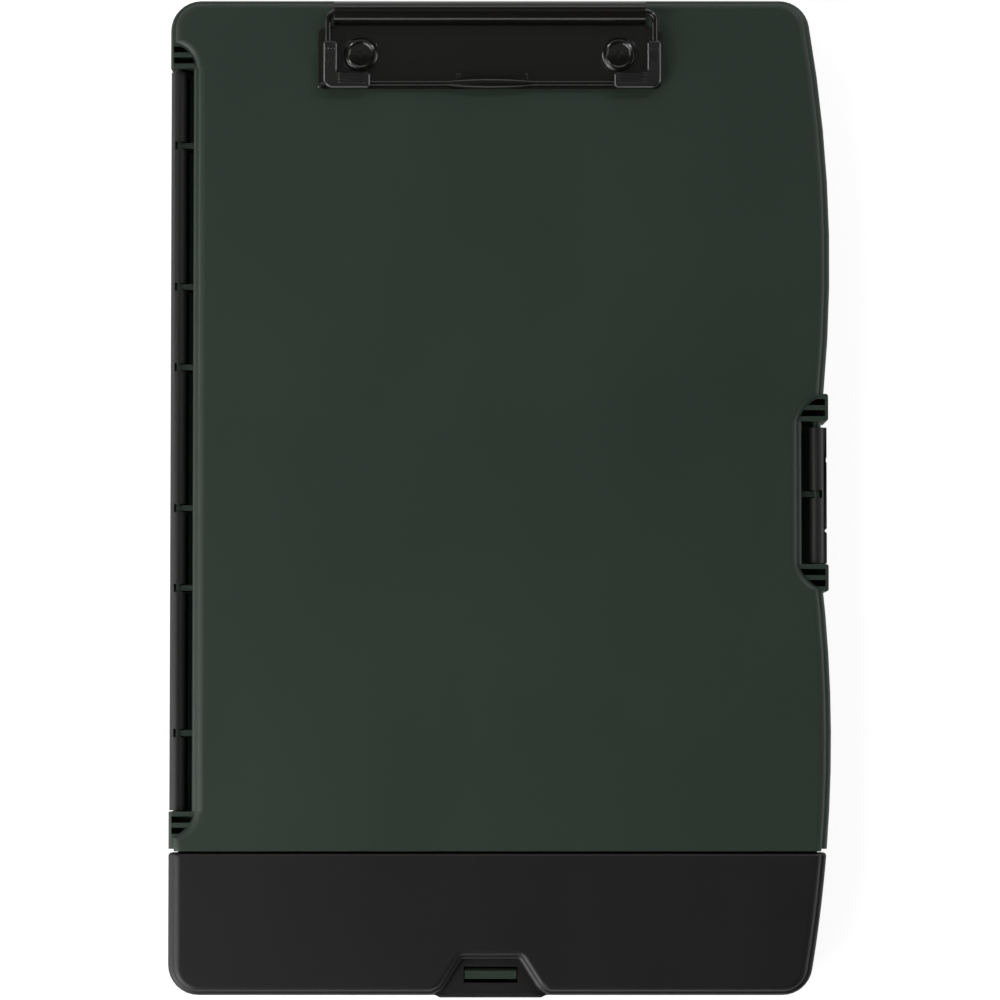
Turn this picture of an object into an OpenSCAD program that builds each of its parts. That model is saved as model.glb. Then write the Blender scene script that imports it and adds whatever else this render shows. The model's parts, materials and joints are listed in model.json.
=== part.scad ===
// Storage clipboard box lying on its back: a deep green case that opens sideways
// on a double hinge, a separate black lid over the lower compartment, and a
// sprung wire clip on the writing surface.
// X runs across the board, Y from the bottom edge to the clip, Z up.

/* [Case] */
// Width of the case across its widest part
case_w = 261; // [250:1:275]
// Distance from the bottom edge of the case to its top edge
case_len = 393.2; // [385:0.1:405]
// Height of the base tray
base_h = 15.5; // [14.5:0.5:16.5]
// Height of the closed case
case_h = 30; // [29:0.5:31]
// Thickness of the moulded walls
wall = 2; // [1.6:0.1:2.4]
// Radius of the four outer corners, seen from above
corner_r = 12; // [8:1:16]
// Radius of the two shallow swells of the right-hand side
bulge_r = 555; // [500:5:650]
// Distance from mid-length to the crest of each swell
bulge_y = 94; // [85:1:105]
// Seam between the cover and the lower lid, on the cover's side
seam_y = -139.7; // [-142:0.1:-138]
// Gap between the cover and the lower lid at the seam
seam_gap = 0.8; // [0.6:0.1:1]

/* [Top edge] */
// Radius of the rounded outer lip
lip_r = 1.6; // [1.2:0.1:1.8]
// Distance from the side to the foot of the step
ledge_w = 2; // [1.8:0.1:2.4]
// Depth of the ledge below the writing surface
ledge_d = 1.8; // [1.6:0.1:2.2]
// Rise of the ledge from its outer to its inner side
ledge_rise = 0.15; // [0.1:0.05:0.3]
// Width of the soft step from the ledge up to the writing surface
step_w = 3.1; // [2.6:0.1:3.4]
// Width of the same edge across the two ends, as a share of that along the sides
end_share = 0.75; // [0.6:0.05:1]

/* [Hinge] */
// Top end of the hinge recess
hinge_top = 170.1; // [169:0.1:171]
// Bottom end of the hinge recess
hinge_bottom = -124.1; // [-125:0.1:-123]
// Depth of the hinge recess from the left edge
hinge_deep = 9.1; // [8.9:0.1:9.5]
// Radius of the moulded hinge and latch rods
rod_r = 1.7; // [1.6:0.05:1.8]
// Outer radius of the barrels that turn on the rods
barrel_r = 3.2; // [3:0.1:3.3]
// Positions of the rod arms along the hinge
arm_ys = [139.7, 83.5, 51.5, -4.3, -35.9, -93.2];

/* [Latch] */
// Top end of the latch recess
latch_top = 29.9; // [29:0.1:31]
// Bottom end of the latch recess
latch_bottom = -26.6; // [-28:0.1:-26]
// Position of the latch recess wall across the board
latch_wall_x = 119.2; // [118.8:0.1:119.4]
// Position of the latch's outer face across the board
latch_face_x = 129.3; // [129:0.1:129.6]
// Outer face of the blocks at both ends of the latch
block_x = 129.7; // [129.4:0.1:130.2]

/* [Lower lid] */
// Distance from the lid's seam edge to its pivot
pivot_back = 9; // [8.5:0.1:9.5]
// Depth of the lid's pivot below the top surface
pivot_deep = 4.3; // [4.2:0.1:4.6]
// Thickness of the lid's skin
lid_wall = 1.8; // [1.6:0.1:2]
// Height of the tongue that snaps over the catch
tongue_z = 25.5; // [24.5:0.1:26]

/* [Clip] */
// Middle of the clip across the board
clip_x = -4; // [-6:0.5:-2]
// Width of the clip's plate
plate_w = 135.7; // [130:0.1:140]
// Front edge of the plate
plate_front = 161.5; // [160:0.1:163]
// Thickness of the sheet metal
sheet = 1; // [0.8:0.1:1.2]
// Outer radius of the rolled curl
curl_r = 4.3; // [4.1:0.1:4.5]
// Width of the rolled curl
curl_w = 123; // [118:0.5:126]
// Radius of the bail wire
wire_r = 1.15; // [1:0.05:1.25]
// Distance between the two rivets
rivet_pitch = 102.3; // [98:0.1:106]
// Distance of the rivets from the plate's front edge
rivet_back = 13.5; // [13:0.1:14]
// Turns of each torsion spring
spring_turns = 8; // [6:1:10]

/* [Hidden] */

green = "#3d4a3f";
black = "#2b2a29";
paint = "#1c1b1a";
steel = "#8d8f90";
soft_black = "#232221";

side_steps = 9;         // straight steps along one swell of the right-hand side
corner_steps = 8;       // steps round one corner
round_fn = 64;
small_r = 0.8;          // corner radius where the cover and the lid meet

left_x = -case_w / 2;
right_x = case_w / 2;
end_y = 197.1;          // top edge of the case
low_y = end_y - case_len;
shell_gap = 0.3;        // between the base and what closes it
cover_z = base_h + shell_gap;
lid_y = seam_y - seam_gap;

// ---------------------------------------------------------------- outline

// The right-hand side is two shallow arcs that meet in a waist at mid-length.
function swell_y(y) = y >= 0 ? bulge_y : -bulge_y;
function side_x(y, inset = 0) =
    right_x - bulge_r + sqrt(pow(bulge_r - inset, 2) - pow(y - swell_y(y), 2));

// Centre and first angle of the fillet between an end edge and the right side.
// dir is 1 for the upper end and -1 for the lower end.
function fillet_y(edge_y, r, dir) = edge_y - dir * r;
function fillet_x(edge_y, r, dir, inset) =
    let (y = fillet_y(edge_y, r, dir))
    right_x - bulge_r + sqrt(pow(bulge_r - inset - r, 2) - pow(y - swell_y(y), 2));
function fillet_angle(edge_y, r, dir, inset) =
    let (y = fillet_y(edge_y, r, dir))
    atan2(y - swell_y(y), fillet_x(edge_y, r, dir, inset) - right_x + bulge_r);

function arc(cx, cy, r, from, to, steps) =
    [for (i = [0:steps]) let (a = from + (to - from) * i / steps) [cx + r * cos(a), cy + r * sin(a)]];

// Heights at which the right side is sampled, between two tangent points.
function side_ys(low, high) =
    low < 0 && high > 0
        ? concat([for (i = [1:side_steps]) low * (1 - i / side_steps)],
                 [for (i = [1:side_steps - 1]) high * i / side_steps])
        : [for (i = [1:side_steps - 1]) low + (high - low) * i / side_steps];

// Closed outline of the case between two end edges, counter-clockwise from the
// middle of the left side. inset moves the sides in; the ends are given as they are.
function outline(inset, low, high, low_r, high_r) =
    let (
        left = left_x + inset,
        low_a = fillet_angle(low, low_r, -1, inset),
        high_a = fillet_angle(high, high_r, 1, inset),
        low_tangent = swell_y(low) + (bulge_r - inset) * sin(low_a),
        high_tangent = swell_y(high) + (bulge_r - inset) * sin(high_a)
    )
    concat(
        [[left, (low + high) / 2]],
        arc(left + low_r, low + low_r, low_r, 180, 270, corner_steps),
        arc(fillet_x(low, low_r, -1, inset), low + low_r, low_r, -90, low_a, corner_steps),
        [for (y = side_ys(low_tangent, high_tangent)) [side_x(y, inset), y]],
        arc(fillet_x(high, high_r, 1, inset), high - high_r, high_r, high_a, 90, corner_steps),
        arc(left + high_r, high - high_r, high_r, 90, 180, corner_steps)
    );

// Corner radius left after an inset.
function inner_r(inset) = max(corner_r - inset, 2);

// Section of the stepped top edge, as [inset, depth below the top], from the side up:
// a rounded lip, a narrow ledge, and a soft step up to the writing surface.
function edge_lip() =
    [for (a = [0:22.5:90]) [lip_r * (1 - cos(a)), ledge_d + lip_r * (1 - sin(a))]];
function edge_step() =
    [for (a = [0:22.5:90]) [ledge_w + step_w * (1 - cos(a)), (ledge_d - ledge_rise) * (1 - sin(a))]];
function top_edge() = concat(edge_lip(), edge_step());
edge_w = ledge_w + step_w;

// Rounding of the plain seam edges, as an inset at a depth below the top.
function seam_inset(depth, r) = depth >= r ? 0 : r - sqrt(r * r - pow(r - depth, 2));

// ---------------------------------------------------------------- lofting

// Solid through closed rings of equal length, from the lowest ring to the highest.
module loft(rings) {
    n = len(rings[0]);
    last = len(rings) - 1;
    polyhedron(
        points = [for (ring = rings) each ring],
        faces = concat(
            [[for (i = [0:n - 1]) i]],
            [for (k = [0:last - 1]) for (i = [0:n - 1])
                let (a = k * n + i, d = k * n + (i + 1) % n)
                each [[a, a + n, d + n], [a, d + n, d]]],
            [concat([last * n], [for (i = [n - 1:-1:1]) last * n + i])]
        )
    );
}

function at_z(points, z) = [for (p = points) [p.x, p.y, z]];

// Arc of radius r in place of the corner b.
function corner_arc(a, b, c, r, steps) =
    let (
        u = (a - b) / norm(a - b),
        v = (c - b) / norm(c - b),
        half = acos(u * v) / 2,
        centre = b + (u + v) / norm(u + v) * r / sin(half),
        from = b + u * r / tan(half) - centre,
        to = b + v * r / tan(half) - centre,
        a0 = atan2(from.y, from.x),
        turn = atan2(to.y, to.x) - a0,
        sweep = turn > 180 ? turn - 360 : turn < -180 ? turn + 360 : turn
    )
    arc(centre.x, centre.y, r, a0, a0 + sweep, steps);

// Polygon with rounded corners. r is one radius, or one for each corner.
function rounded(points, r, steps = 5) =
    let (n = len(points))
    [for (i = [0:n - 1])
        each corner_arc(
            points[(i + n - 1) % n], points[i], points[(i + 1) % n], is_list(r) ? r[i] : r, steps
        )];

// Extrusion of a YZ profile along X, from one X to another.
module along_x(from, to) {
    translate([from, 0, 0])
        rotate([90, 0, 90])
            linear_extrude(to - from) children();
}

// Extrusion of an XZ profile along Y, from one Y to another.
module along_y(from, to) {
    translate([0, to, 0])
        rotate([90, 0, 0])
            linear_extrude(to - from) children();
}

// Upright prism over an outline, from one Z to another.
module upright(from, to) {
    translate([0, 0, from]) linear_extrude(to - from) children();
}

// ---------------------------------------------------------------- recesses

// Beyond both ends of a recess lie pockets, crossed by ribs and closed outwards by a
// web. Their inner side is one round arc, which the stepped edge follows.
// A recess is [outer face, wall, [lower end, upper end], arcs], and its arcs are
// [middle across the board, distance of the middle inside the end, radius].
hinge_wall_x = left_x + hinge_deep;
hinge_arcs = [left_x - 1, 1, 11];
latch_arcs = [right_x + 2.5, 5, 16];
hinge_recess = [left_x, hinge_wall_x, [hinge_bottom, hinge_top], hinge_arcs];
latch_recess = [block_x, latch_wall_x, [latch_bottom, latch_top], latch_arcs];
recesses = [hinge_recess, latch_recess];

rib_w = 1.9;
rib_pitch = 4.4;
pocket_count = 2;
pocket_web = 1.2;
pocket_floor = 3;       // thickness of the cover under the pockets
arc_ledge = 0.5;        // ledge between a pocket and the foot of the step
side_over = 3;          // the recesses are cut this far past the side

// In what follows dir is 1 for the upper end of a recess and -1 for the lower one.
function face_x(recess) = recess[0];
function wall_x(recess) = recess[1];
function end_of(recess, dir) = recess[2][dir > 0 ? 1 : 0];
function arc_middle(recess, dir) = [recess[3][0], end_of(recess, dir) - dir * recess[3][1]];
function arc_r(recess) = recess[3][2];

// Everything beyond one end of a recess, in plan.
module beyond_end(recess, dir) {
    reach = 2 * arc_r(recess);
    translate([face_x(recess) - reach, end_of(recess, dir) - (dir > 0 ? 0 : reach)])
        square([2 * reach, reach]);
}

// Straight part of a recess in plan, open to the side, grown by g.
module slot_plan(recess, g = 0) {
    out = sign(face_x(recess));
    inner = wall_x(recess) - out * g;
    outer = face_x(recess) + out * side_over;
    low = end_of(recess, -1) - g;
    high = end_of(recess, 1) + g;
    translate([min(inner, outer), low]) square([abs(outer - inner), high - low]);
}

// Round end of a recess in plan, grown by g.
module end_plan(recess, dir, g = 0) {
    intersection() {
        translate(arc_middle(recess, dir)) circle(arc_r(recess) + g, $fn = round_fn);
        beyond_end(recess, dir);
    }
}

module slot_plans(g = 0) {
    for (recess = recesses) slot_plan(recess, g);
}

module recess_plans(g = 0) {
    slot_plans(g);
    for (recess = recesses, dir = [-1, 1]) end_plan(recess, dir, g);
}

// Pockets beyond one end of a recess in plan.
module pocket_plan(recess, dir) {
    out = sign(face_x(recess));
    inner = face_x(recess) - out * arc_r(recess);
    web_x = face_x(recess) - out * pocket_web;
    for (i = [1:pocket_count]) {
        near = end_of(recess, dir) + dir * ((i - 1) * rib_pitch + rib_w);
        far = end_of(recess, dir) + dir * i * rib_pitch;
        intersection() {
            end_plan(recess, dir);
            translate([min(inner, web_x), min(near, far)])
                square([abs(web_x - inner), abs(far - near)]);
        }
    }
}

// What the stepped edge takes off along a recess: a straight run above its wall, and
// round ends that lower the ribs to the ledge.
module recess_edge(recess) {
    out = sign(face_x(recess));
    run = concat(
        [[-lip_r, case_h + 1], [-lip_r, case_h - ledge_d - lip_r]],
        [for (p = top_edge()) [p[0], case_h - p[1]]],
        [[edge_w, case_h + 1]]
    );
    foot = arc_r(recess) + arc_ledge;
    ring = concat(
        [[0, case_h + 1], [0, case_h - ledge_d], [foot, case_h - ledge_d]],
        [for (p = edge_step()) [foot + p[0] - ledge_w, case_h - p[1]]],
        [[foot + step_w, case_h + 1]]
    );
    along_y(end_of(recess, -1), end_of(recess, 1))
        polygon([for (p = run) [wall_x(recess) - out * p[0], p[1]]]);
    for (dir = [-1, 1])
        intersection() {
            translate(arc_middle(recess, dir)) rotate_extrude($fn = round_fn) polygon(ring);
            upright(skin_low, case_h + 2) beyond_end(recess, dir);
        }
}

block_len = 10.8;
block_r = 1;

// Blocks that bring the ends of the latch recess out to the face of the latch.
module latch_blocks(from, to) {
    inner = side_x(latch_top) - ledge_w - block_r;
    for (dir = [-1, 1]) {
        near = end_of(latch_recess, dir);
        far = near + dir * block_len;
        upright(from, to)
            polygon(rounded([[inner, near], [block_x, near], [block_x, far], [inner, far]], block_r));
    }
}

// ---------------------------------------------------------------- rods

rod_x = left_x + barrel_r;
latch_x = 125.4;
low_rod_z = 7.5;
high_rod_z = case_h - 7.5;
arm_w = 2.2;
arm_h = 2.4;
arm_over = 0.6;         // the arms run this far into the wall and the rod
mid_arm_y = 1.2;
rod_over = 1;           // the rods run this far into the ends of the recess

// A rod between the ends of a recess, with arms to the recess wall.
module rod_with_arms(recess, x, arms, z) {
    inner = wall_x(recess);
    along_y(end_of(recess, -1) - rod_over, end_of(recess, 1) + rod_over)
        translate([x, z]) circle(rod_r, $fn = round_fn);
    for (y = arms)
        translate([min(x, inner) - arm_over, y - arm_w / 2, z - arm_h / 2])
            cube([abs(inner - x) + 2 * arm_over, arm_w, arm_h]);
}

module rods(z) {
    rod_with_arms(hinge_recess, rod_x, arm_ys, z);
    rod_with_arms(latch_recess, latch_x, [mid_arm_y], z);
}

// ---------------------------------------------------------------- seam

notch_x = 2.2;          // depth of the notches at both ends of the seam
notch_y = 1.7;
notch_up = 0.5;         // more of each notch is in the cover than in the lid
notch_mid_y = (seam_y + lid_y) / 2 + notch_up;

module seam_notches() {
    for (x = [left_x - 1, side_x(seam_y) - notch_x])
        translate([x, notch_mid_y - notch_y / 2, -1])
            cube([notch_x + 1, notch_y, case_h + 2]);
}

// ---------------------------------------------------------------- base

foot_r = 3;             // rounding of the underside
floor_h = 2;

function base_rings() =
    concat(
        [for (a = [0:22.5:90])
            let (in = foot_r * (1 - sin(a)))
            at_z(outline(in, low_y + in, end_y - in, inner_r(in), inner_r(in)), foot_r * (1 - cos(a)))],
        [at_z(outline(0, low_y, end_y, corner_r, corner_r), base_h)]
    );

ear_w = 3;
ear_gap = 0.4;
ear_r = 2.25;
pin_r = 1.25;
pin_gap = 0.05;
pivot_y = lid_y - pivot_back;
pivot_z = case_h - pivot_deep;
ear_left_x = left_x + edge_w + ear_gap;
side_slant = 0.6;       // the right side slants in this far along the ear
ear_right_x = side_x(pivot_y) - edge_w - ear_gap - side_slant;
skirt_r = pivot_z - cover_z;    // the skirts turn inside this radius about the pivot
post_back = 4;
post_front = 0.6;

// Ear that carries one pivot pin of the lower lid.
module lid_ear(x) {
    along_x(x, x + ear_w)
        difference() {
            translate([pivot_y, pivot_z]) {
                circle(ear_r, $fn = round_fn);
                translate([-post_back, floor_h / 2 - pivot_z])
                    square([post_back + post_front, pivot_z - floor_h / 2 - 1]);
            }
            translate([pivot_y, pivot_z]) circle(pin_r + pin_gap, $fn = round_fn);
        }
}

// The base wall rises beside the seam as a horn, hollowed for the turning skirts.
module seam_horns() {
    intersection() {
        upright(base_h - 1, pivot_z) difference() {
            polygon(outline(0, low_y, end_y, corner_r, corner_r));
            polygon(outline(wall, low_y + wall, end_y - wall, inner_r(wall), inner_r(wall)));
        }
        along_x(left_x - 1, right_x + 1) difference() {
            translate([pivot_y, base_h - 1]) square([pivot_back, pivot_z - base_h]);
            translate([pivot_y, pivot_z]) circle(skirt_r + 0.3, $fn = round_fn);
        }
    }
}

catch_w = 20.3;
catch_low_y = -189.75;
catch_high_y = -185.4;
catch_top = tongue_z + 0.6;
catch_ramp = 1.2;       // run and drop of the ramp on its upper side
catch_drop = 2.2;

// Upright catch in the lower compartment that stands up through the tongue's slot.
module tongue_catch() {
    along_x(tongue_x - catch_w / 2, tongue_x + catch_w / 2)
        polygon([
            [catch_low_y, floor_h / 2], [catch_high_y, floor_h / 2],
            [catch_high_y, catch_top - catch_drop], [catch_high_y - catch_ramp, catch_top],
            [catch_low_y, catch_top]
        ]);
}

module base_cavity(low, high, low_r, high_r) {
    upright(floor_h, base_h + 1)
        difference() {
            polygon(outline(wall, low, high, low_r, high_r));
            slot_plans(wall);
        }
}

sill_x = 125.2;         // the floor reaches this far out under the latch
sill_low = 0.6;

// Floor of the latch recess, where the side of the case is drawn in.
module latch_sill() {
    translate([latch_wall_x, latch_bottom, sill_low])
        cube([sill_x - latch_wall_x, latch_top - latch_bottom, floor_h - sill_low]);
}

relief = 1.8;           // corner taken off where the cover rolls over the left edge

// Chamfer along the left edge of the case at height z.
module edge_relief(z) {
    translate([left_x, 0, z])
        rotate([0, 45, 0])
            translate([-relief / sqrt(2), seam_y, -relief / sqrt(2)])
                cube([relief * sqrt(2), end_y - seam_y, relief * sqrt(2)]);
}

module base_tray() {
    color(green)
        difference() {
            union() {
                difference() {
                    loft(base_rings());
                    base_cavity(seam_y + wall, end_y - wall, small_r, inner_r(wall));
                    base_cavity(low_y + wall, seam_y, inner_r(wall), small_r);
                    upright(floor_h, base_h + 1) slot_plans();
                }
                latch_blocks(floor_h, base_h);
                latch_sill();
                rods(low_rod_z);
                lid_ear(ear_left_x);
                lid_ear(ear_right_x - ear_w);
                seam_horns();
                tongue_catch();
            }
            seam_notches();
            edge_relief(base_h);
        }
}

// ---------------------------------------------------------------- cover

skin_low = case_h - ledge_d - wall;     // underside of the skin below the stepped edge
seam_r = 0.5;           // rounding of the cover's edge at the seam

function cover_ring(p) =
    let (
        end_in = p[0] * end_share,
        depth = p[1],
        high_r = inner_r(p[0]),
        low = seam_y + seam_inset(depth, seam_r)
    )
    at_z(outline(p[0], low, end_y - end_in, small_r, high_r), case_h - depth);

function cover_rings() =
    concat(
        [at_z(outline(0, seam_y, end_y, small_r, corner_r), cover_z)],
        [for (p = top_edge()) cover_ring(p)]
    );

module cover_cavity() {
    difference() {
        union() {
            upright(cover_z - 1, skin_low)
                polygon(outline(wall, seam_y + wall, end_y - wall, small_r, inner_r(wall)));
            upright(cover_z - 1, case_h - wall)
                polygon(outline(edge_w, seam_y + wall, end_y - edge_w, small_r, inner_r(edge_w)));
        }
        upright(cover_z - 2, case_h) recess_plans(wall);
        upright(skin_low, case_h) recess_plans(edge_w);
    }
}

rivet_xs = [clip_x - rivet_pitch / 2, clip_x + rivet_pitch / 2];
rivet_y = plate_front + rivet_back;
shank_r = 1.5;
shank_gap = 0.05;

module cover() {
    color(green)
        difference() {
            union() {
                difference() {
                    loft(cover_rings());
                    cover_cavity();
                    upright(cover_z - 1, case_h + 1) slot_plans();
                    for (recess = recesses) recess_edge(recess);
                }
                latch_blocks(cover_z, case_h - ledge_d);
                rods(high_rod_z);
            }
            for (recess = recesses, dir = [-1, 1])
                upright(cover_z + pocket_floor, case_h) pocket_plan(recess, dir);
            seam_notches();
            edge_relief(cover_z);
            for (x = rivet_xs)
                translate([x, rivet_y, case_h - 5])
                    cylinder(h = 10, r = shank_r + shank_gap, $fn = round_fn);
        }
}

// ---------------------------------------------------------------- hinge spine

bore_gap = 0.08;        // running fit of the barrels on the rods
mouth = 2.6;            // opening through which a barrel snaps over its rod
spine_low = hinge_bottom + 0.5;
spine_high = hinge_top - 1.1;
slot_w = arm_w + 1;
slot_in = 1.5;
slot_out = 10;          // the slots are cut this far, past the barrels
web_t = 1.8;

// Outer section of a barrel about a rod.
module barrel_section(z, x) {
    translate([x, z]) circle(barrel_r, $fn = round_fn);
}

// Section of its bore, with the snap mouth turned to an angle.
module bore_section(z, x, mouth_a) {
    translate([x, z]) {
        circle(rod_r + bore_gap, $fn = round_fn);
        rotate(mouth_a) translate([0, -mouth / 2]) square([barrel_r + 1, mouth]);
    }
}

module hinge_spine() {
    color(black)
        difference() {
            along_y(spine_low, spine_high)
                difference() {
                    union() {
                        barrel_section(low_rod_z, rod_x);
                        barrel_section(high_rod_z, rod_x);
                        translate([left_x, low_rod_z]) square([web_t, high_rod_z - low_rod_z]);
                    }
                    bore_section(low_rod_z, rod_x, 45);
                    bore_section(high_rod_z, rod_x, -45);
                }
            for (y = arm_ys) {
                translate([rod_x - slot_in, y - slot_w / 2, high_rod_z - slot_in])
                    cube([slot_out, slot_w, slot_out]);
                translate([rod_x - slot_in, y - slot_w / 2, low_rod_z + slot_in - slot_out])
                    cube([slot_out, slot_w, slot_out]);
            }
        }
}

// ---------------------------------------------------------------- side latch

latch_web = 1.9;
web_up = 1.6;           // the web rises this far above the rod's middle
hook_gap = 0.25;
hook_t = 1.7;
hook_back = 2.2;        // slant of the hook's end, over hook_deep
hook_deep = 20;
hook_mouth = 215;
latch_low = latch_bottom + 0.5;
latch_high = latch_top - 2.3;
latch_slot_in = 2;      // the latch turns a little past a right angle
grip_notch = 1;
grip_notch_ys = [14.7, -13.3];

module latch_section() {
    hook_r = high_rod_z - low_rod_z + rod_r + hook_gap;
    web_x = latch_face_x - latch_web;
    out = latch_face_x - latch_x;
    difference() {
        union() {
            barrel_section(high_rod_z, latch_x);
            translate([web_x, high_rod_z - hook_r]) square([latch_web, hook_r + web_up]);
            translate([latch_x, high_rod_z])
                intersection() {
                    difference() {
                        circle(hook_r + hook_t, $fn = round_fn * 2);
                        circle(hook_r, $fn = round_fn * 2);
                    }
                    polygon([[0, 0], [-hook_back, -hook_deep], [out, -hook_deep], [out, 0]]);
                }
        }
        bore_section(high_rod_z, latch_x, hook_mouth);
    }
}

module side_latch() {
    color(black)
        difference() {
            along_y(latch_low, latch_high) latch_section();
            translate([
                latch_x + latch_slot_in - slot_out, mid_arm_y - slot_w / 2, high_rod_z - slot_in
            ])
                cube([slot_out, slot_w, slot_out]);
            for (y = grip_notch_ys)
                upright(0, case_h)
                    translate([latch_face_x, y]) rotate(45) square(grip_notch * sqrt(2), center = true);
        }
}

// ---------------------------------------------------------------- lower lid

lid_seam_r = 1.2;
tongue_x = -3.7;        // middle of the tongue across the board
lip_y = -end_y;         // the tongue's lip reaches as far down as the clip end reaches up
lip_w = 43.8;
lip_taper = 2;
bead_r = 0.9;
bead_drop = 0.4;        // the bead's middle below the tongue's upper face
slot_x = 21.1;
slot_y = 6.3;
slot_mid_y = -188.15;
foot_y = low_y - 5;     // the recess is cut out past the end of the lid

// Corners of the right half of the flared recess over the tongue, from the foot up:
// [place from the tongue's middle, shift for each mm of growth], and their radii.
recess_corners = [
    [[25.8, foot_y], [0, 0]],
    [[25.8, low_y - 1.3], [0, 1.12]],
    [[18.7, low_y + 2.2], [0.69, 0.77]],
    [[11.1, low_y + 14], [0.55, 1]]
];
function recess_radii(g) = [1.5, 1.5, 6, 1.2 + g];

// The flared recess in plan, grown by g, from the middle of its foot.
function tongue_plan(g) =
    let (
        half = [for (c = recess_corners) c[0] + g * c[1]],
        radii = recess_radii(g),
        right = [for (p = half) [tongue_x + p.x, p.y]],
        left = [for (i = [3:-1:0]) [tongue_x - half[i].x, half[i].y]]
    )
    concat(
        [[tongue_x, foot_y]],
        rounded(concat(right, left), concat(radii, [for (i = [3:-1:0]) radii[i]]))
    );

function lid_ring(p) =
    let (
        depth = p[1],
        end_in = p[0] * end_share,
        low_r = inner_r(p[0]),
        high = lid_y - seam_inset(depth, lid_seam_r)
    )
    at_z(outline(p[0], low_y + end_in, high, low_r, small_r), case_h - depth);

function lid_rings() =
    concat(
        [at_z(outline(0, low_y, lid_y, corner_r, small_r), cover_z)],
        [for (p = top_edge()) lid_ring(p)]
    );

// The recess is cut with the same stepped edge, a little narrower.
function tongue_cut_rings() =
    concat(
        [at_z(tongue_plan(0), tongue_z)],
        [for (p = top_edge()) at_z(tongue_plan(p[0] * end_share), case_h - p[1])],
        [at_z(tongue_plan(edge_w * end_share), case_h + 1)]
    );

module lid_cavity() {
    tray_z = tongue_z - lid_wall;
    difference() {
        union() {
            upright(cover_z - 1, skin_low)
                polygon(outline(lid_wall, low_y + lid_wall, lid_y + 5, inner_r(lid_wall), small_r));
            upright(cover_z - 1, case_h - lid_wall)
                polygon(outline(edge_w, low_y + edge_w, lid_y + 5, inner_r(edge_w), small_r));
        }
        upright(tray_z, case_h) polygon(tongue_plan(lid_wall));
        upright(skin_low, case_h) polygon(tongue_plan(edge_w * end_share));
    }
}

// Floor of the recess: a springy tongue with a tapered lip and a rounded bead.
module lid_tongue() {
    half = lip_w / 2;
    upright(tongue_z - lid_wall, tongue_z) {
        intersection() {
            polygon(tongue_plan(0.5));
            translate([left_x, low_y]) square([case_w, case_len]);
        }
        translate([tongue_x, 0])
            polygon([
                [-half, low_y + 1], [-half, low_y], [lip_taper - half, lip_y],
                [half - lip_taper, lip_y], [half, low_y], [half, low_y + 1]
            ]);
    }
    along_x(tongue_x + lip_taper - half, tongue_x + half - lip_taper)
        translate([lip_y + bead_r, tongue_z - bead_drop]) circle(bead_r, $fn = 32);
}

// The skirts end in a quarter circle about the pivot, so that they clear the base.
module skirt_relief() {
    along_x(left_x - 1, right_x + 1)
        difference() {
            translate([pivot_y, cover_z - 1]) square([pivot_back + 2, pivot_deep + skirt_r + 2]);
            translate([pivot_y, pivot_z]) circle(skirt_r, $fn = round_fn * 2);
        }
}

module bottom_lid() {
    pin_in = 0.7;       // the pins show this far through the ears
    color(black)
        difference() {
            union() {
                difference() {
                    loft(lid_rings());
                    lid_cavity();
                    loft(tongue_cut_rings());
                    skirt_relief();
                }
                lid_tongue();
                along_x(left_x + 1, ear_left_x + ear_w + pin_in)
                    translate([pivot_y, pivot_z]) circle(pin_r, $fn = round_fn);
                along_x(ear_right_x - ear_w - pin_in, side_x(pivot_y) - 1)
                    translate([pivot_y, pivot_z]) circle(pin_r, $fn = round_fn);
            }
            translate([tongue_x - slot_x / 2, slot_mid_y - slot_y / 2, tongue_z - lid_wall - 1])
                cube([slot_x, slot_y, lid_wall + 2]);
            seam_notches();
        }
}

// ---------------------------------------------------------------- clip

plate_z = case_h + sheet;
curl_back = 30;         // from the plate's front edge to the middle of the curl
plate_deep = 24.2;      // depth of the plate's wide part
plate_r = 2.4;
curl_y = plate_front + curl_back;
curl_z = case_h + curl_r;
plate_back = plate_front + plate_deep;
boss_r = 7.5;
boss_h = 0.5;
boss_gap = 0.35;        // between a boss and the foot of the grip in front of it

// Raised disc under a rivet head, cut straight behind the grip's foot.
module rivet_boss(x) {
    upright(case_h + sheet / 2, plate_z + boss_h)
        intersection() {
            translate([x, rivet_y]) circle(boss_r, $fn = round_fn);
            translate([x - boss_r, plate_front + grip_foot + boss_gap]) square(2 * boss_r);
        }
}

module clip_plate() {
    free_edge = 15;     // the curl stops this far below its front
    far = 2 * curl_r;
    color(paint)
        difference() {
            union() {
                upright(case_h, plate_z)
                    polygon(rounded([
                        [clip_x - plate_w / 2, plate_front], [clip_x + plate_w / 2, plate_front],
                        [clip_x + plate_w / 2, plate_back], [clip_x - plate_w / 2, plate_back]
                    ], plate_r));
                translate([clip_x - curl_w / 2, rivet_y, case_h])
                    cube([curl_w, curl_y - rivet_y, sheet]);
                along_x(clip_x - curl_w / 2, clip_x + curl_w / 2)
                    translate([curl_y, curl_z])
                        difference() {
                            circle(curl_r, $fn = round_fn);
                            circle(curl_r - sheet, $fn = round_fn);
                            polygon([[0, 0], [0, -far], [-far, -far], [-far, -far * tan(free_edge)]]);
                        }
                for (x = rivet_xs) rivet_boss(x);
            }
            for (x = rivet_xs)
                translate([x, rivet_y, case_h - 1])
                    cylinder(h = 5, r = shank_r + shank_gap, $fn = round_fn);
        }
}

bail_w = 129.3;         // between the wire's middles
bail_len = 28;
bail_x = -3.35;
bail_z = 32.6;          // height of the front bar's middle
bend_r = 3.2;

bail_tilt = asin((curl_z - bail_z) / bail_len);

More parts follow.
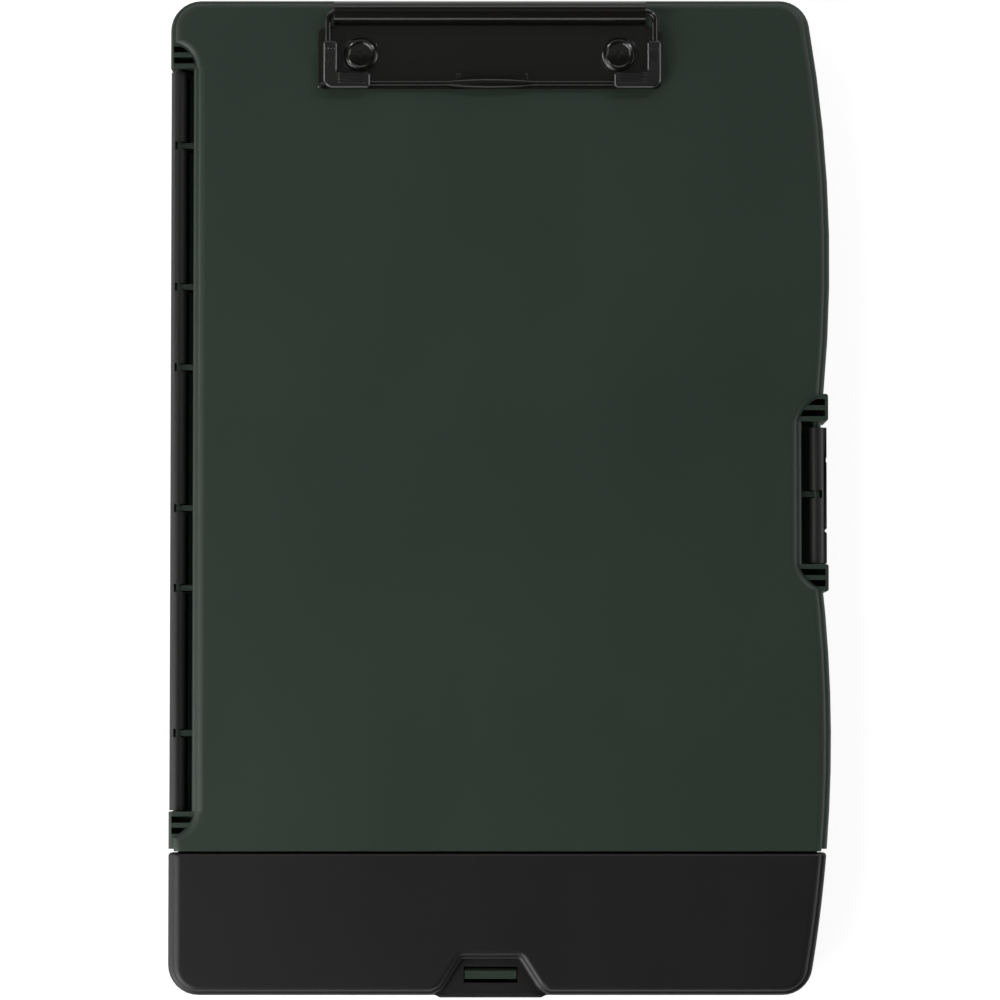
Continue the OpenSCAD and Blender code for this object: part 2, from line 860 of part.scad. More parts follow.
// The bail in its own plane, hanging forward from the pivot bar, as wire of radius r.
module bail_loop(r) {
    half = bail_w / 2;
    translate([bail_x, curl_y, curl_z])
        rotate([bail_tilt, 0, 0]) {
            for (y = [0, -bail_len])
                along_x(bend_r - half, half - bend_r) translate([y, 0]) circle(r, $fn = 32);
            for (x = [-half, half])
                along_y(bend_r - bail_len, -bend_r) translate([x, 0]) circle(r, $fn = 32);
            for (sx = [-1, 1], sy = [0, 1])
                translate([sx * (half - bend_r), sy ? -bend_r : bend_r - bail_len, 0])
                    rotate([0, 0, sy ? (sx > 0 ? 0 : 90) : (sx > 0 ? 270 : 180)])
                        rotate_extrude(angle = 90, $fn = round_fn) translate([bend_r, 0]) circle(r, $fn = 32);
        }
}

module clip_wire() {
    color(steel) bail_loop(wire_r);
}

tab_w = 31.7;
tab_r = 2.4;
tab_end_r = 1.35;
grasp = 0.02;           // room round the wire in what is moulded on it
pad_gap = 0.05;
pad_z = plate_z + pad_gap;
tab_gap = 0.2;

// Lens-shaped finger lift on the middle of the front bar.
module clip_finger_tab() {
    swell = tab_r - tab_end_r;
    lens_r = (pow(tab_w / 2, 2) + pow(swell, 2)) / (2 * swell);
    color(paint)
        difference() {
            translate([clip_x, curl_y - bail_len * cos(bail_tilt), bail_z])
                rotate([0, 90, 0])
                    rotate_extrude($fn = round_fn)
                        intersection() {
                            translate([tab_r - lens_r, 0]) circle(lens_r, $fn = round_fn * 6);
                            translate([0, -tab_w / 2]) square([tab_r + 1, tab_w]);
                        }
            bail_loop(wire_r + grasp);
            upright(case_h, plate_z + tab_gap)
                translate([clip_x - tab_w, plate_front]) square([2 * tab_w, rivet_back]);
        }
}

grip_h = 4.6;
grip_leg = 5.6;
grip_foot = 6.3;
grip_long = 18.6;
grip_tall = 18.7;
grip_r = 1.1;
grip_ins = [2, 0.1];    // from the plate's left and right edges to the grips
ridge_count = 4;
ridge_pitch = 0.9;
ridge_r = 0.28;
ridge_in = 1.6;         // from the grip's outer side to its first ridge
ridge_front = 1.9;      // from the plate's front edge to the first ridge along it
ridge_end = 3;
ridge_ys = [8, 15];     // span of the ridges across the board's length

// L-shaped rubber grip over one front corner of the bail. side is -1 or 1.
module clip_grip(side) {
    outer_x = clip_x + side * (plate_w / 2 - grip_ins[side < 0 ? 0 : 1]);
    corner = [outer_x, plate_front];
    toe = [outer_x - side * grip_long, plate_front];
    points = [
        corner, toe, toe + [0, grip_foot], corner + [-side * grip_leg, grip_foot],
        corner + [-side * grip_leg, grip_tall], corner + [0, grip_tall]
    ];
    color(soft_black)
        difference() {
            union() {
                upright(pad_z, pad_z + grip_h) polygon(rounded(points, grip_r, 4));
                for (i = [0:ridge_count - 1]) {
                    x = outer_x - side * (ridge_in + i * ridge_pitch);
                    y = plate_front + ridge_front + i * ridge_pitch;
                    along_y(plate_front + ridge_ys[0], plate_front + ridge_ys[1])
                        translate([x, pad_z + grip_h]) circle(ridge_r, $fn = 16);
                    along_x(min(corner.x, toe.x) + ridge_end, max(corner.x, toe.x) - ridge_end)
                        translate([y, pad_z + grip_h]) circle(ridge_r, $fn = 16);
                }
            }
            bail_loop(wire_r + grasp);
        }
}

module clip_grip_left() {
    clip_grip(-1);
}

module clip_grip_right() {
    clip_grip(1);
}

tail_h = 0.8;
tail_out = 1;           // how far the tail is spread beyond the shank
tail_slant = 0.4;
washer_r = 5;
washer_h = 1;

// Rivet head from its outer edge to its middle, as [radius, height above the boss].
head_section = [
    [6.7, 0], [6.7, 0.4], [6, 1], [5.1, 1.3], [4.6, 1.1], [4.2, 0.7], [1.3, 0.9], [1.1, 0.6], [0, 0.6]
];

// Rivet with a low ringed head, seen from above as three circles.
module rivet(x) {
    z0 = plate_z + boss_h;
    tail_z = case_h - wall - washer_h;
    tail_r = shank_r + tail_out;
    color(paint)
        translate([x, rivet_y, 0])
            rotate_extrude($fn = round_fn)
                polygon(concat(
                    [[0, tail_z - tail_h], [tail_r, tail_z - tail_h], [tail_r + tail_slant, tail_z]],
                    [[shank_r, tail_z], [shank_r, z0]],
                    [for (p = head_section) [p[0], z0 + p[1]]]
                ));
}

module rivet_left() {
    rivet(rivet_xs[0]);
}

module rivet_right() {
    rivet(rivet_xs[1]);
}

// Backing washer under the cover's skin.
module rivet_washer(x) {
    color(steel)
        translate([x, rivet_y, case_h - wall - washer_h])
            difference() {
                cylinder(h = washer_h, r = washer_r, $fn = round_fn);
                translate([0, 0, -1]) cylinder(h = washer_h + 2, r = shank_r + shank_gap, $fn = round_fn);
            }
}

module rivet_washer_left() {
    rivet_washer(rivet_xs[0]);
}

module rivet_washer_right() {
    rivet_washer(rivet_xs[1]);
}

// ---------------------------------------------------------------- springs

coil_r = 2.7;
coil_wire_r = 0.42;
coil_pitch = 1.4;
coil_rings = 8;         // rings in one turn
coil_sides = 6;
leg = 0.9;              // straight ends, along the tangent
spring_in = 6;          // from the ends of the curl to the springs

// Middle of the coil's wire after a number of turns, along X, and its direction.
function coil_point(t) = [coil_pitch * t, coil_r * cos(360 * t), coil_r * sin(360 * t)];
function coil_dir(t) =
    let (v = [coil_pitch / (2 * PI * coil_r), -sin(360 * t), cos(360 * t)]) v / norm(v);
function coil_path(turns) =
    concat(
        [coil_point(0) - coil_dir(0) * leg],
        [for (i = [0:coil_rings * turns]) coil_point(i / coil_rings)],
        [coil_point(turns) + coil_dir(turns) * leg]
    );
function coil_turn(i, last) = min(max(i - 1, 0), last - 2) / coil_rings;
function coil_ring(centre, t) =
    let (
        d = coil_dir(t),
        u = cross(d, [1, 0, 0]) / norm(cross(d, [1, 0, 0])),
        v = cross(d, u)
    )
    [for (k = [0:coil_sides - 1])
        let (a = 360 * k / coil_sides) centre + coil_wire_r * (cos(a) * u + sin(a) * v)];

spring_path = coil_path(spring_turns);
spring_last = len(spring_path) - 1;

// Least gap between turns: distances of points more than half a turn apart.
spring_gap = min([
    for (i = [0:spring_last]) for (j = [i + coil_rings / 2:1:spring_last])
        norm(spring_path[i] - spring_path[j])
]) - 2 * coil_wire_r;
echo(least_gap_of_spring = spring_gap);

module clip_spring(x) {
    color(steel)
        translate([x, curl_y, curl_z])
            loft([for (i = [0:spring_last]) coil_ring(spring_path[i], coil_turn(i, spring_last))]);
}

module clip_spring_left() {
    clip_spring(clip_x - curl_w / 2 + spring_in);
}

module clip_spring_right() {
    clip_spring(clip_x + curl_w / 2 - spring_in - coil_pitch * spring_turns);
}

base_tray();
cover();
hinge_spine();
side_latch();
bottom_lid();
clip_plate();
clip_wire();
clip_finger_tab();
clip_grip_left();
clip_grip_right();
rivet_left();
rivet_right();
rivet_washer_left();
rivet_washer_right();
clip_spring_left();
clip_spring_right();
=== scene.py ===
import json
import math

import bmesh
import bpy
from mathutils import Matrix, Vector


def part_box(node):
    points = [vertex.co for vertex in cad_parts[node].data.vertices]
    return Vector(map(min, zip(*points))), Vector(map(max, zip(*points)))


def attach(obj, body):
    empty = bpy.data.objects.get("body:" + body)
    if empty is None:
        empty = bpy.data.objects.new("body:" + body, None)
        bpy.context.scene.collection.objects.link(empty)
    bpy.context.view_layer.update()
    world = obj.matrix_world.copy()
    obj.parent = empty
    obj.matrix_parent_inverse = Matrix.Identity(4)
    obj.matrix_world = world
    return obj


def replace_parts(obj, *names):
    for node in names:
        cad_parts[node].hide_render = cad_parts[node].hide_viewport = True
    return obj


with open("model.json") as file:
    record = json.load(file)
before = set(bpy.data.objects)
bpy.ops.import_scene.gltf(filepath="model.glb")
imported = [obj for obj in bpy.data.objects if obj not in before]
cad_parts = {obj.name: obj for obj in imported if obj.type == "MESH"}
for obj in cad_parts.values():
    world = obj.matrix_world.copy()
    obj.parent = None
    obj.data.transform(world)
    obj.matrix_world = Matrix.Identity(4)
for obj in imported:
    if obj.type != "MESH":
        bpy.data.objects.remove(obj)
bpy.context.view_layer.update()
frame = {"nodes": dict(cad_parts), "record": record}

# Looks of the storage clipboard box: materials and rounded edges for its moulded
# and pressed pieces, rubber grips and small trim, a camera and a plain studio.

MM = 0.001


# ------------------------------------------------------------------ materials

class Shader:
    """The node tree of one material, with short calls for the nodes used here."""

    def __init__(self, name):
        self.material = bpy.data.materials.new(name)
        self.material.use_nodes = True
        self.nodes = self.material.node_tree.nodes
        self.links = self.material.node_tree.links
        self.nodes.clear()
        self.place = self.add("ShaderNodeTexCoord").outputs["Object"]

    def add(self, kind, settings=None, **inputs):
        """A node with its settings, and its inputs as values or as sockets to link."""
        node = self.nodes.new(kind)
        for key, value in (settings or {}).items():
            setattr(node, key, value)
        for key, value in inputs.items():
            socket = node.inputs[int(key[2:]) if key.startswith("in") else key.replace("_", " ")]
            if isinstance(value, bpy.types.NodeSocket):
                self.links.new(value, socket)
            else:
                socket.default_value = value
        return node

    def noise(self, scale, detail, place=None):
        """Noise with a number of features per metre, around 0.5."""
        return self.add("ShaderNodeTexNoise", Vector=place or self.place,
                        Scale=scale, Detail=detail).outputs["Fac"]

    def stretched(self, x, y, z):
        """The place, stretched along some axes, for streaks and scratches."""
        return self.add("ShaderNodeMapping", Vector=self.place, Scale=(x, y, z)).outputs["Vector"]

    def span(self, value, low, high, to_low, to_high):
        """value from low to high, spread over to_low to to_high and clamped."""
        return self.add("ShaderNodeMapRange", in0=value, in1=low, in2=high,
                        in3=to_low, in4=to_high).outputs[0]

    def plus(self, a, b):
        return self.add("ShaderNodeMath", {"operation": "ADD"}, in0=a, in1=b).outputs[0]

    def times(self, a, b):
        return self.add("ShaderNodeMath", {"operation": "MULTIPLY"}, in0=a, in1=b).outputs[0]

    def edge(self, radius):
        """1 along edges and 0 on faces, from how far a rounded normal turns away."""
        round_normal = self.add("ShaderNodeBevel", {"samples": 4}, Radius=radius).outputs[0]
        flat_normal = self.add("ShaderNodeNewGeometry").outputs["Normal"]
        along = self.add("ShaderNodeVectorMath", {"operation": "DOT_PRODUCT"},
                         in0=round_normal, in1=flat_normal).outputs["Value"]
        return self.span(along, 0.75, 0.98, 1.0, 0.0)

    def tint(self, colour, shares):
        """The colour, scaled by each share in turn."""
        made = colour
        for share in shares:
            mixed = self.add("ShaderNodeVectorMath", {"operation": "SCALE"}, in0=made)
            self.links.new(share, mixed.inputs["Scale"])
            made = mixed.outputs[0]
        return made

    def bump(self, height, depth, normal=None):
        """Normal of a surface whose height goes from 0 to a depth in metres."""
        node = self.add("ShaderNodeBump", Height=height, Distance=depth)
        if normal:
            self.links.new(normal, node.inputs["Normal"])
        return node.outputs[0]

    def finish(self, colour, roughness, normal, **constants):
        """The finished material, with any other inputs of its shader as constants."""
        shader = self.add("ShaderNodeBsdfPrincipled", Roughness=roughness, Normal=normal)
        self.links.new(colour, shader.inputs["Base Color"])
        for key, value in constants.items():
            shader.inputs[key.replace("_", " ")].default_value = value
        out = self.add("ShaderNodeOutputMaterial")
        self.links.new(shader.outputs[0], out.inputs["Surface"])
        return self.material


GRAIN = 3600            # features of the moulded grain per metre
GRAIN_DEPTH = 0.00002
PEEL = 260              # features of the slight waviness of a moulded skin per metre
PEEL_DEPTH = 0.00002
WORN = 0.5              # how much lighter a polished edge is, as a share of the colour


def moulded(name, colour, rough):
    """Injection-moulded plastic: fine grain, slight waviness, clouds, rubs and polished edges."""
    s = Shader(name)
    grain = s.noise(GRAIN, 3.0)
    cloud = s.noise(9.0, 3.0)
    fleck = s.noise(900.0, 2.0)
    rub = s.noise(35.0, 6.0, s.stretched(1.0, 0.4, 1.0))
    edge = s.edge(0.0007)
    polish = s.times(edge, s.span(rub, 0.35, 0.65, 0.3, 1.0))
    tinted = s.tint(colour, [
        s.span(cloud, 0.3, 0.7, 0.93, 1.07),
        s.span(fleck, 0.25, 0.75, 0.95, 1.05),
        s.span(polish, 0.0, 1.0, 1.0, 1.0 + WORN),
    ])
    roughness = s.plus(s.span(rub, 0.3, 0.7, rough + 0.025, rough - 0.025),
                       s.span(polish, 0.0, 1.0, 0.0, -0.12))
    wavy = s.bump(s.noise(PEEL, 1.0), PEEL_DEPTH)
    return s.finish(tinted, roughness, s.bump(grain, GRAIN_DEPTH, wavy))


def painted(name, colour, rough, coat):
    """Gloss paint on metal: orange peel, faint smears, thin rubbed edges."""
    s = Shader(name)
    peel = s.noise(700.0, 2.0)
    smear = s.noise(45.0, 5.0, s.stretched(0.25, 1.0, 1.0))
    edge = s.edge(0.0004)
    rubbed = s.times(edge, s.span(s.noise(400.0, 4.0), 0.4, 0.62, 0.0, 1.0))
    tinted = s.tint(colour, [
        s.span(smear, 0.3, 0.7, 0.9, 1.1),
        s.span(rubbed, 0.0, 1.0, 1.0, 2.2),
    ])
    roughness = s.span(smear, 0.3, 0.7, rough - 0.01, rough + 0.01)
    return s.finish(tinted, roughness, s.bump(peel, 0.000012), Coat_Weight=coat)


def rubber(name, colour):
    """Soft black rubber with a glossy skin: faint bloom, fine pits, and a painted highlight that
    makes every edge lighter.
    """
    s = Shader(name)
    pits = s.noise(2600.0, 4.0)
    bloom = s.noise(150.0, 4.0)
    tinted = s.tint(colour, [
        s.span(bloom, 0.3, 0.7, 0.85, 1.15),
        # Painted highlight: all edges are made lighter, standing in for the glints along the
        # grip's rims.
        s.span(s.edge(0.0004), 0.0, 1.0, 1.0, 1.7),
    ])
    roughness = s.span(bloom, 0.3, 0.7, 0.32, 0.42)
    return s.finish(tinted, roughness, s.bump(pits, 0.000008),
                    Coat_Weight=0.7, Coat_Roughness=0.08)


def zinc(name, colour):
    """Zinc-plated steel wire and washers, with drawing lines."""
    s = Shader(name)
    lines = s.noise(1500.0, 3.0, s.stretched(1.0, 0.1, 0.1))
    cloud = s.noise(300.0, 3.0)
    tinted = s.tint(colour, [s.span(cloud, 0.3, 0.7, 0.85, 1.1)])
    roughness = s.span(lines, 0.3, 0.7, 0.28, 0.45)
    return s.finish(tinted, roughness, s.bump(lines, 0.00001), Metallic=1.0)


FINISHES = {
    "green_plastic": moulded("green_moulding", (0.0262, 0.0445, 0.0312), 0.44),
    "black_plastic": moulded("black_moulding", (0.0180, 0.0174, 0.0168), 0.42),
    "lid_plastic": moulded("lid_moulding", (0.0127, 0.0120, 0.0118), 0.40),
    "black_paint": painted("black_paint", (0.0078, 0.0074, 0.0062), 0.22, coat=0.2),
    "wire_paint": painted("wire_paint", (0.0100, 0.0096, 0.0090), 0.2, coat=0.3),
    "rubber": rubber("grip_rubber", (0.0062, 0.0060, 0.0055)),
    "steel": zinc("zinc_steel", (0.45, 0.45, 0.46)),
}


# ------------------------------------------------------------------ CAD nodes

def smooth_group(name, angle):
    """Geometry nodes that join split vertices and shade smooth up to an angle."""
    group = bpy.data.node_groups.new(name, "GeometryNodeTree")
    group.interface.new_socket("Geometry", in_out="INPUT", socket_type="NodeSocketGeometry")
    group.interface.new_socket("Geometry", in_out="OUTPUT", socket_type="NodeSocketGeometry")
    nodes = group.nodes
    start = nodes.new("NodeGroupInput")
    end = nodes.new("NodeGroupOutput")
    weld = nodes.new("GeometryNodeMergeByDistance")
    weld.inputs["Distance"].default_value = 1e-6
    plain = nodes.new("GeometryNodeRemoveAttribute")
    plain.inputs["Name"].default_value = "custom_normal"
    faces = nodes.new("GeometryNodeSetShadeSmooth")
    edges = nodes.new("GeometryNodeSetShadeSmooth")
    edges.domain = "EDGE"
    turn = nodes.new("GeometryNodeInputMeshEdgeAngle")
    sharp = nodes.new("FunctionNodeCompare")
    sharp.data_type = "FLOAT"
    sharp.operation = "LESS_EQUAL"
    sharp.inputs["B"].default_value = angle
    link = group.links.new
    link(start.outputs[0], weld.inputs["Geometry"])
    link(weld.outputs[0], plain.inputs["Geometry"])
    link(plain.outputs[0], faces.inputs["Geometry"])
    link(faces.outputs[0], edges.inputs["Geometry"])
    link(turn.outputs["Unsigned Angle"], sharp.inputs["A"])
    link(sharp.outputs[0], edges.inputs["Shade Smooth"])
    link(edges.outputs[0], end.inputs[0])
    return group


SMOOTH = smooth_group("smooth_by_angle", math.radians(32))


def smooth(piece, name):
    """Shades a piece smooth, apart from its sharp edges."""
    modifier = piece.modifiers.new(name, "NODES")
    modifier.node_group = SMOOTH


def keep_faces_flat(piece):
    """Turns the normals of the large faces flat, so that only the roundings look round."""
    even = piece.modifiers.new("flat_shading", "WEIGHTED_NORMAL")
    even.mode = "FACE_AREA"
    even.keep_sharp = True


def dress(node, slot, edge_r=0.0):
    """Gives a CAD node its finish, smooth shading and, where asked, rounded edges."""
    piece = frame["nodes"][node]
    piece.data.materials.clear()
    piece.data.materials.append(FINISHES[slot])
    smooth(piece, "weld")
    if edge_r:
        flat = piece.modifiers.new("flat_faces", "DECIMATE")
        flat.decimate_type = "DISSOLVE"
        flat.angle_limit = math.radians(0.3)
        bevel = piece.modifiers.new("edges", "BEVEL")
        bevel.width = edge_r
        bevel.segments = 2
        bevel.limit_method = "ANGLE"
        bevel.angle_limit = math.radians(40)
        smooth(piece, "smooth")
        keep_faces_flat(piece)


# Radii of the rounded edges, in millimetres. The round pieces need none.
EDGES = {"base_tray": 0.3, "cover": 0.25, "hinge_spine": 0.25, "side_latch": 0.3,
         "bottom_lid": 0.25, "clip_plate": 0.2}

for part in frame["record"]["subparts"]:
    dress(part["node"], part["material_slot"], EDGES.get(part["node"], 0) * MM)


# ------------------------------------------------------------------ own pieces, in millimetres

def corner_arc(before, corner, after, radius, steps):
    """Points of a rounding in place of a corner."""
    u = (before - corner).normalized()
    v = (after - corner).normalized()
    half = u.angle(v) / 2
    centre = corner + (u + v).normalized() * radius / math.sin(half)
    start = corner + u * radius / math.tan(half) - centre
    end = corner + v * radius / math.tan(half) - centre
    turn = math.atan2(start.x * end.y - start.y * end.x, start.dot(end))
    return [centre + Matrix.Rotation(turn * i / steps, 2) @ start for i in range(steps + 1)]


def rounded(corners, radii, steps=6):
    """Outline with rounded corners, each with its own radius."""
    corners = [Vector(c) for c in corners]
    points = []
    for i, radius in enumerate(radii):
        following = corners[(i + 1) % len(corners)]
        points += corner_arc(corners[i - 1], corners[i], following, radius, steps)
    return points


def add_prism(mesh, rings):
    """Closed block through rings of points, each as (outline, height)."""
    rings = [[mesh.verts.new((p.x, p.y, z)) for p in outline] for outline, z in rings]
    mesh.faces.new(rings[0][::-1])
    mesh.faces.new(rings[-1])
    for low, high in zip(rings, rings[1:]):
        for i in range(len(low)):
            j = (i + 1) % len(low)
            mesh.faces.new((low[i], low[j], high[j], high[i]))


# Section of a ridge of radius 1: across and up.
RIDGE = [(-1.0, -0.5), (-0.92, 0.4), (-0.55, 0.85), (0.0, 1.0),
         (0.55, 0.85), (0.92, 0.4), (1.0, -0.5)]


def add_ridge(mesh, start, end, radius):
    """Fine half-round ridge between two points, with ends that run out."""
    start, end = Vector(start), Vector(end)
    along = (end - start).normalized()
    across = Vector((-along.y, along.x, 0))
    up = Vector((0, 0, 1))
    rise = along * radius * 3
    # Places along the ridge, each with its share of the height.
    stations = [(start, -0.3), (start + rise, 0.7), (start + 2 * rise, 1.0),
                (end - 2 * rise, 1.0), (end - rise, 0.7), (end, -0.3)]
    rings = [[mesh.verts.new(place + (across * x + up * z * share) * radius) for x, z in RIDGE]
             for place, share in stations]
    for one, other in zip(rings, rings[1:]):
        for i in range(len(RIDGE)):
            j = (i + 1) % len(RIDGE)
            mesh.faces.new((one[i], one[j], other[j], other[i]))
    mesh.faces.new(rings[0][::-1])
    mesh.faces.new(rings[-1])


def add_bead(mesh, centre, lengths, turn):
    """Small rounded bead, longer one way than the others."""
    placed = (Matrix.Translation(centre) @ Matrix.Rotation(turn, 4, "Z")
              @ Matrix.Diagonal((*lengths, 1.0)))
    bmesh.ops.create_icosphere(mesh, subdivisions=3, radius=0.5, matrix=placed)


def keep(mesh, name, body, slot):
    """Makes a piece of a mesh that was built in millimetres."""
    bmesh.ops.recalc_face_normals(mesh, faces=mesh.faces)
    data = bpy.data.meshes.new(name)
    mesh.to_mesh(data)
    mesh.free()
    data.transform(Matrix.Scale(MM, 4))
    data.materials.append(FINISHES[slot])
    piece = bpy.data.objects.new(name, data)
    bpy.context.collection.objects.link(piece)
    smooth(piece, "smooth")
    keep_faces_flat(piece)
    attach(piece, body)
    return piece


GRIP_LEG = 5.5          # width of the leg along the bail's side
GRIP_FOOT = 6.3         # depth of the foot along its front bar
GRIP_RIM = [(0.0, 0.75), (0.08, 0.55), (0.62, 0.1), (0.8, 0.0)]     # inset and drop below the top
GRIP_UNDERCUT = 0.3     # chamfer under the grip
HEEL_R = 3.4            # outer corner, round which the bail turns
TIP_R = 1.2             # the other outer corners
CROOK_R = 0.8           # the inner corner
RIBS = 4                # ribs on the leg and on the foot
RIB_R = 0.34
RIB_PITCH = 1.15
RIB_SIDE = 1.2          # from the leg's outer side to its first rib
RIB_FRONT = 2.1         # from the foot's front to its first rib
LEG_RIB_START = 9.6     # from the foot's front to the leg's ribs
LEG_RIB_END = 2.6       # from the leg's ribs to its back end
FOOT_RIB_END = 0.9      # from the foot's ribs to the toe
BEAD_SIZE = (3.6, 1.8, 1.6)
BEAD_TURN = math.radians(35)
BEAD_PLACE = (-0.7, 1.0, -0.6)      # of its middle, from the left grip's outer front top corner


def grip(name, side):
    """Rubber grip round a front corner of the bail, with soft rims and fine ribs."""
    node = "clip_grip_" + name
    low, high = (corner / MM for corner in map(Vector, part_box(node)))
    outer = low.x if side < 0 else high.x
    toe = high.x if side < 0 else low.x
    inner = outer - side * GRIP_LEG
    front, back, base, top = low.y, high.y, low.z, high.z - RIB_R

    def outline(inset):
        """The grip's outline, drawn in by an inset."""
        i, o = inset, side * inset
        return rounded(
            [(outer - o, front + i), (toe + o, front + i), (toe + o, front + GRIP_FOOT - i),
             (inner + o, front + GRIP_FOOT - i), (inner + o, back - i), (outer - o, back - i)],
            [HEEL_R - i, TIP_R - i, TIP_R - i, CROOK_R + i, TIP_R - i, TIP_R - i])

    mesh = bmesh.new()
    add_prism(mesh, [(outline(GRIP_UNDERCUT), base), (outline(0.0), base + GRIP_UNDERCUT)]
              + [(outline(inset), top - drop) for inset, drop in GRIP_RIM])
    for i in range(RIBS):
        x = outer - side * (RIB_SIDE + i * RIB_PITCH)
        y = front + RIB_FRONT + i * RIB_PITCH
        add_ridge(mesh, (x, front + LEG_RIB_START, top), (x, back - LEG_RIB_END, top), RIB_R)
        add_ridge(mesh, (inner, y, top), (toe + side * FOOT_RIB_END, y, top), RIB_R)
    if name == "left":
        add_bead(mesh, Vector((outer, front, top)) + Vector(BEAD_PLACE), BEAD_SIZE, BEAD_TURN)
    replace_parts(keep(mesh, "grip_" + name, "jaw", "rubber"), node)


grip("left", -1)
grip("right", 1)


FLANGE_X = (-17.4, 11.1)
FLANGE_Y = (164.4, 167.7)
FLANGE_Z = (32.2, 32.5)
FLANGE_EDGE = 0.15      # height of its upper chamfer
FLANGE_RIB_R = 0.2
FLANGE_RIBS_Y = (166.2, 167.0)
FLANGE_RIB_END = 1.2    # from a rib's end to the flange's end


def tab_flange():
    """Thin ribbed flange behind the lens of the finger lift."""
    (left, right), (front, back), (base, top) = FLANGE_X, FLANGE_Y, FLANGE_Z

    def outline(inset):
        return rounded([(left + inset, front), (right - inset, front),
                        (right - inset, back - inset), (left + inset, back - inset)],
                       [0.4, 0.4, 1.2, 1.2])

    mesh = bmesh.new()
    add_prism(mesh, [(outline(0.0), base), (outline(0.0), top - FLANGE_EDGE), (outline(0.2), top)])
    for y in FLANGE_RIBS_Y:
        add_ridge(mesh, (left + FLANGE_RIB_END, y, top), (right - FLANGE_RIB_END, y, top),
                  FLANGE_RIB_R)
    keep(mesh, "tab_flange", "jaw", "black_paint")


tab_flange()


# ------------------------------------------------------------------ studio

def aim(thing, target):
    """Turns a lamp or camera to look at a point."""
    thing.rotation_euler = (target - thing.location).to_track_quat("-Z", "Y").to_euler()


CAMERA_AWAY = 2.0
CAMERA_TILT = math.radians(2.975)
CAMERA_LENS = 181.2
CAMERA_TARGET = Vector((0.00004, -0.00064, 0.015))


def camera():
    """Camera almost straight above, tipped a little towards the lower lid."""
    data = bpy.data.cameras.new("camera")
    data.lens = CAMERA_LENS
    data.clip_start = 0.1
    data.clip_end = 40.0
    seen_from = bpy.data.objects.new("camera", data)
    bpy.context.collection.objects.link(seen_from)
    backwards = Vector((0, -math.sin(CAMERA_TILT), math.cos(CAMERA_TILT)))
    seen_from.location = CAMERA_TARGET + CAMERA_AWAY * backwards
    seen_from.rotation_euler = (CAMERA_TILT, 0, 0)
    bpy.context.scene.camera = seen_from


# Glow of the floor by kind of ray, over what the lamps give it.
FLOOR_SHINE = {"Is Camera Ray": 0.85, "Is Glossy Ray": 0.55, "Is Transmission Ray": 0.55}


def floor_material():
    """White floor that keeps a soft shadow and shows white to the camera and in gloss."""
    material = bpy.data.materials.new("floor")
    material.use_nodes = True
    nodes, link = material.node_tree.nodes, material.node_tree.links.new
    nodes.clear()
    diffuse = nodes.new("ShaderNodeBsdfDiffuse")
    diffuse.inputs["Color"].default_value = (0.5, 0.5, 0.5, 1)
    glow = nodes.new("ShaderNodeEmission")
    path = nodes.new("ShaderNodeLightPath")
    shine = None
    for ray, strength in FLOOR_SHINE.items():
        more = nodes.new("ShaderNodeMath")
        more.operation = "MULTIPLY_ADD"
        more.inputs[1].default_value = strength
        more.inputs[2].default_value = 0.0
        link(path.outputs[ray], more.inputs[0])
        if shine:
            link(shine, more.inputs[2])
        shine = more.outputs[0]
    link(shine, glow.inputs["Strength"])
    both = nodes.new("ShaderNodeAddShader")
    out = nodes.new("ShaderNodeOutputMaterial")
    link(diffuse.outputs[0], both.inputs[0])
    link(glow.outputs[0], both.inputs[1])
    link(both.outputs[0], out.inputs["Surface"])
    return material


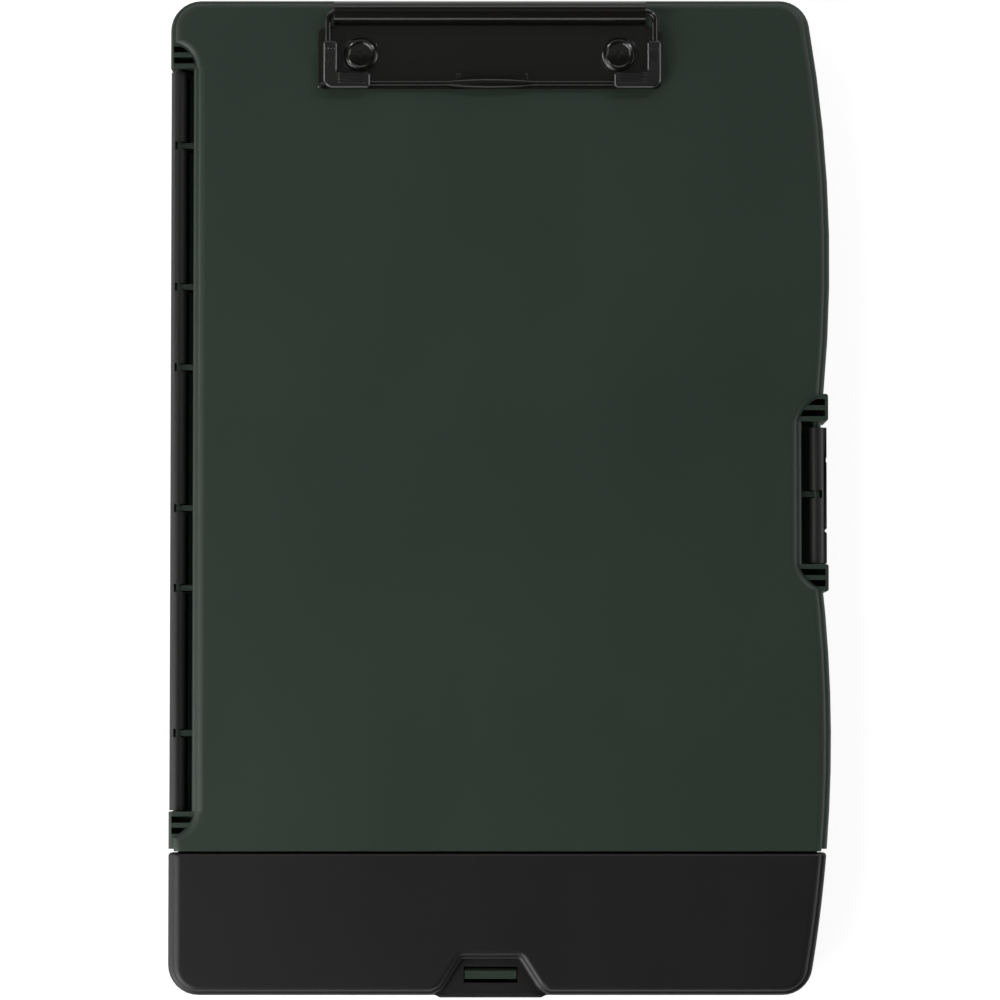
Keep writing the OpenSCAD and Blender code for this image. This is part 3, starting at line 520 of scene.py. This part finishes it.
def floor():
    """Round floor with a low rim that rises in the distance, as one turned mesh."""
    profile = [(0.0, 0.0), (6.5, 0.0), (7.2, 0.08), (7.7, 0.3), (8.0, 0.7), (8.1, 1.4)]
    steps = 96
    mesh = bmesh.new()
    rings = []
    for radius, height in profile[1:]:
        rings.append([mesh.verts.new((radius * math.cos(t), radius * math.sin(t), height))
                      for t in (2 * math.pi * i / steps for i in range(steps))])
    mesh.faces.new(rings[0])
    for low, high in zip(rings, rings[1:]):
        for i in range(steps):
            j = (i + 1) % steps
            mesh.faces.new((low[i], low[j], high[j], high[i]))
    data = bpy.data.meshes.new("floor")
    mesh.to_mesh(data)
    mesh.free()
    data.materials.append(floor_material())
    piece = bpy.data.objects.new("floor", data)
    bpy.context.collection.objects.link(piece)


def lamp(name, azimuth, from_zenith, away, size, power):
    """Soft rectangular lamp in a direction from the case, in degrees, that shines on it."""
    data = bpy.data.lights.new(name, "AREA")
    data.shape = "RECTANGLE"
    data.size, data.size_y = size
    data.energy = power
    light = bpy.data.objects.new(name, data)
    round_z, down = math.radians(azimuth), math.radians(from_zenith)
    light.location = away * Vector((math.sin(down) * math.cos(round_z),
                                    math.sin(down) * math.sin(round_z), math.cos(down)))
    light.visible_camera = False
    bpy.context.collection.objects.link(light)
    aim(light, Vector())


def studio():
    """Even dim room, with keys on the left, soft light all round and two small glints."""
    world = bpy.data.worlds.new("room")
    world.use_nodes = True
    background = world.node_tree.nodes["Background"]
    background.inputs["Color"].default_value = (1, 1, 1, 1)
    background.inputs["Strength"].default_value = 0.025
    bpy.context.scene.world = world
    lamp("key_low", 205, 60, 1.3, (0.8, 0.8), 3.8)
    lamp("key_high", 205, 42, 1.3, (0.8, 0.8), 3.4)
    lamp("key_front", 228, 62, 1.3, (0.8, 0.8), 4.6)
    lamp("rim_right", 0, 60, 3.2, (2.4, 1.6), 8.5)
    lamp("rim_low", 0, 80, 3.2, (1.4, 0.8), 8.5)
    lamp("rim_left", 178, 80, 3.2, (1.6, 0.5), 12.0)
    lamp("rim_front", 268, 80, 3.2, (1.6, 0.5), 7.5)
    lamp("fill_top", 90, 62, 3.2, (2.4, 1.2), 11.5)
    lamp("overhead", 90, 18, 3.2, (2.0, 0.9), 1.3)
    lamp("glint_right", 48, 50, 3.2, (0.35, 0.35), 14)
    lamp("glint_left", 125, 45, 3.2, (0.35, 0.35), 5)


camera()
floor()
studio()
bpy.context.scene.view_settings.view_transform = "Standard"
